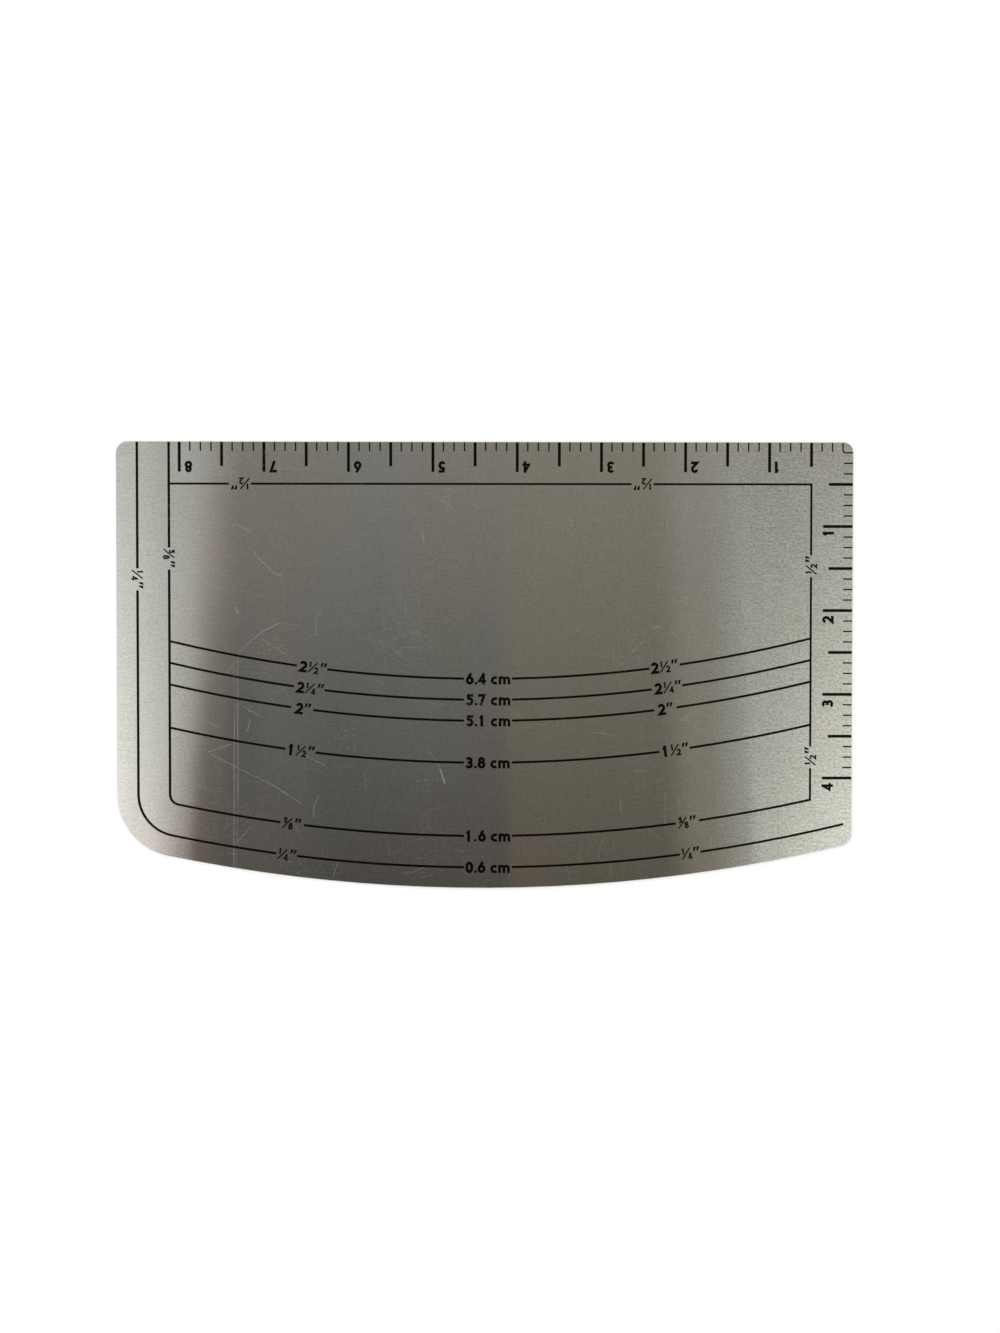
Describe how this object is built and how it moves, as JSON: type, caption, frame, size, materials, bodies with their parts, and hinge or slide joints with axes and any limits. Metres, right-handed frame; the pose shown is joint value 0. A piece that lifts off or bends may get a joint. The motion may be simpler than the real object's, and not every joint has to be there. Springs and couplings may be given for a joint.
{
  "type": "sewing gauge",
  "caption": "Flat metal sewing gauge with inch scales on its straight edges and printed hem and seam lines that follow its curved edge.",
  "frame": {"origin": "centre of the plate's box, on its back face", "axes": "+X along the long scale, away from its higher numbers and towards the short scale; +Y from the curved hem edge towards the long scale's edge; +Z out of the printed face"},
  "size_m": [0.2222, 0.135, 0.0008],
  "materials": {
    "plate_metal": "brushed along the long scale, worn satin",
    "printed_ink": "black screen-printed ink, satin"
  },
  "bodies": {
    "root": {"gauge_plate": "plate_metal", "long_scale_inch_marks": "printed_ink", "long_scale_half_inch_marks": "printed_ink", "long_scale_eighth_marks": "printed_ink", "short_scale_inch_marks": "printed_ink", "short_scale_half_inch_marks": "printed_ink", "short_scale_eighth_marks": "printed_ink", "scale_corner_mark": "printed_ink", "seam_line_quarter_inch": "printed_ink", "seam_line_five_eighths": "printed_ink", "frame_line_long_side": "printed_ink", "frame_line_short_side": "printed_ink", "hem_line_1_5_in": "printed_ink", "hem_line_2_in": "printed_ink", "hem_line_2_25_in": "printed_ink", "hem_line_2_5_in": "printed_ink"}
  },
  "joints": []
}
